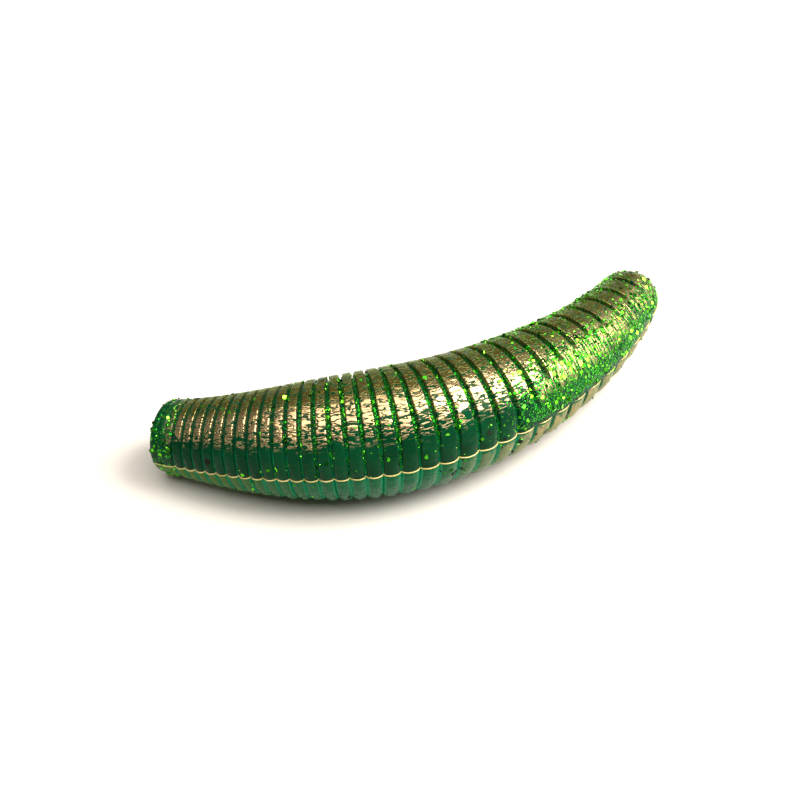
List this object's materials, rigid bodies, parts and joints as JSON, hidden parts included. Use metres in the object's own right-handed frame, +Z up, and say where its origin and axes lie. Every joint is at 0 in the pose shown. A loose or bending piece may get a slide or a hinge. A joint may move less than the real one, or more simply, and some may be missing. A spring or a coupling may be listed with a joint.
{
  "type": "soft plastic worm",
  "caption": "Short fat ribbed soft plastic worm bait, banana-curved, with a flat head end, moulded grooves it flexes at and a rounded tail tip.",
  "frame": {"origin": "on the ground under the middle of the bounding box", "axes": "+X along the longest side of the box, from the head end to the tail tip; +Y to the hollow side of the curve; +Z up, out of the ground the belly lies on"},
  "size_m": [0.0558, 0.0354, 0.0134],
  "materials": {
    "body_plastisol": "gloss",
    "head_plastisol": "gloss",
    "tail_plastisol": "gloss",
    "green_glitter": "polished",
    "pepper_flake": "gloss",
    "flash_line": "gloss"
  },
  "bodies": {
    "section_01": {"head_end": "head_plastisol", "rib_01": "body_plastisol", "rib_02": "body_plastisol"},
    "section_02": {"rib_03": "body_plastisol", "rib_04": "body_plastisol", "rib_05": "body_plastisol"},
    "section_03": {"rib_06": "body_plastisol", "rib_07": "body_plastisol", "rib_08": "body_plastisol"},
    "section_04": {"rib_09": "body_plastisol", "rib_10": "body_plastisol", "rib_11": "body_plastisol"},
    "section_05": {"rib_12": "body_plastisol", "rib_13": "body_plastisol", "rib_14": "body_plastisol"},
    "section_06": {"rib_15": "body_plastisol", "rib_16": "body_plastisol", "rib_17": "body_plastisol"},
    "section_07": {"rib_18": "body_plastisol", "rib_19": "body_plastisol"},
    "section_08": {"rib_20": "body_plastisol", "rib_21": "body_plastisol"},
    "section_09": {"rib_22": "body_plastisol", "rib_23": "body_plastisol"},
    "section_10": {"rib_24": "body_plastisol", "rib_25": "body_plastisol"},
    "section_11": {"rib_26": "body_plastisol", "rib_27": "body_plastisol"},
    "section_12": {"rib_28": "body_plastisol", "rib_29": "body_plastisol"},
    "section_13": {"rib_30": "body_plastisol", "rib_31": "body_plastisol"},
    "section_14": {"rib_32": "body_plastisol", "tail_tip": "tail_plastisol"}
  },
  "joints": [
    {"name": "flex_01_side", "type": "hinge", "parent": "section_02", "child": "section_01", "pos_m": [-0.02193, -0.00966, 0.00448], "axis": [0.1546, -0.042, -0.9871], "range_deg": [-8, 8], "stiffness_Nm_per_rad": 0.007},
    {"name": "flex_02_lift", "type": "hinge", "parent": "section_03", "child": "section_02", "pos_m": [-0.01862, -0.01044, 0.00503], "axis": [0.1985, 0.9801, 0], "range_deg": [-8, 8], "stiffness_Nm_per_rad": 0.011},
    {"name": "flex_03_side", "type": "hinge", "parent": "section_04", "child": "section_03", "pos_m": [-0.01511, -0.01102, 0.0056], "axis": [0.1453, -0.0183, -0.9892], "range_deg": [-7, 7], "stiffness_Nm_per_rad": 0.0155},
    {"name": "flex_04_lift", "type": "hinge", "parent": "section_05", "child": "section_04", "pos_m": [-0.01139, -0.01133, 0.00612], "axis": [0.0348, 0.9994, 0], "range_deg": [-7, 7], "stiffness_Nm_per_rad": 0.022},
    {"name": "flex_05_side", "type": "hinge", "parent": "section_06", "child": "section_05", "pos_m": [-0.0075, -0.01124, 0.0065], "axis": [0.0674, 0.0055, -0.9977], "range_deg": [-7, 7], "stiffness_Nm_per_rad": 0.027},
    {"name": "flex_06_lift", "type": "hinge", "parent": "section_07", "child": "section_06", "pos_m": [-0.00334, -0.01059, 0.00668], "axis": [-0.2309, 0.973, 0], "range_deg": [-8, 8], "stiffness_Nm_per_rad": 0.031},
    {"name": "flex_07_side", "type": "hinge", "parent": "section_07", "child": "section_08", "pos_m": [-0.00022, -0.00965, 0.00665], "axis": [0.0192, 0.0071, 0.9998], "range_deg": [-9, 9], "stiffness_Nm_per_rad": 0.032},
    {"name": "flex_08_lift", "type": "hinge", "parent": "section_08", "child": "section_09", "pos_m": [0.00314, -0.00815, 0.00652], "axis": [0.4593, -0.8883, 0], "range_deg": [-10, 10], "stiffness_Nm_per_rad": 0.027},
    {"name": "flex_09_side", "type": "hinge", "parent": "section_09", "child": "section_10", "pos_m": [0.00672, -0.00603, 0.00628], "axis": [0.0559, 0.0374, 0.9977], "range_deg": [-12, 12], "stiffness_Nm_per_rad": 0.02},
    {"name": "flex_10_lift", "type": "hinge", "parent": "section_10", "child": "section_11", "pos_m": [0.01046, -0.00324, 0.00591], "axis": [0.6371, -0.7708, 0], "range_deg": [-15, 15], "stiffness_Nm_per_rad": 0.014},
    {"name": "flex_11_side", "type": "hinge", "parent": "section_11", "child": "section_12", "pos_m": [0.01429, 0.00027, 0.00544], "axis": [0.0676, 0.0682, 0.9954], "range_deg": [-16, 16], "stiffness_Nm_per_rad": 0.0093},
    {"name": "flex_12_lift", "type": "hinge", "parent": "section_12", "child": "section_13", "pos_m": [0.01812, 0.00456, 0.00485], "axis": [0.7794, -0.6265, 0], "range_deg": [-16, 16], "stiffness_Nm_per_rad": 0.0056},
    {"name": "flex_13_side", "type": "hinge", "parent": "section_13", "child": "section_14", "pos_m": [0.02181, 0.00972, 0.00417], "axis": [0.0586, 0.0924, 0.994], "range_deg": [-16, 16], "stiffness_Nm_per_rad": 0.0024}
  ]
}
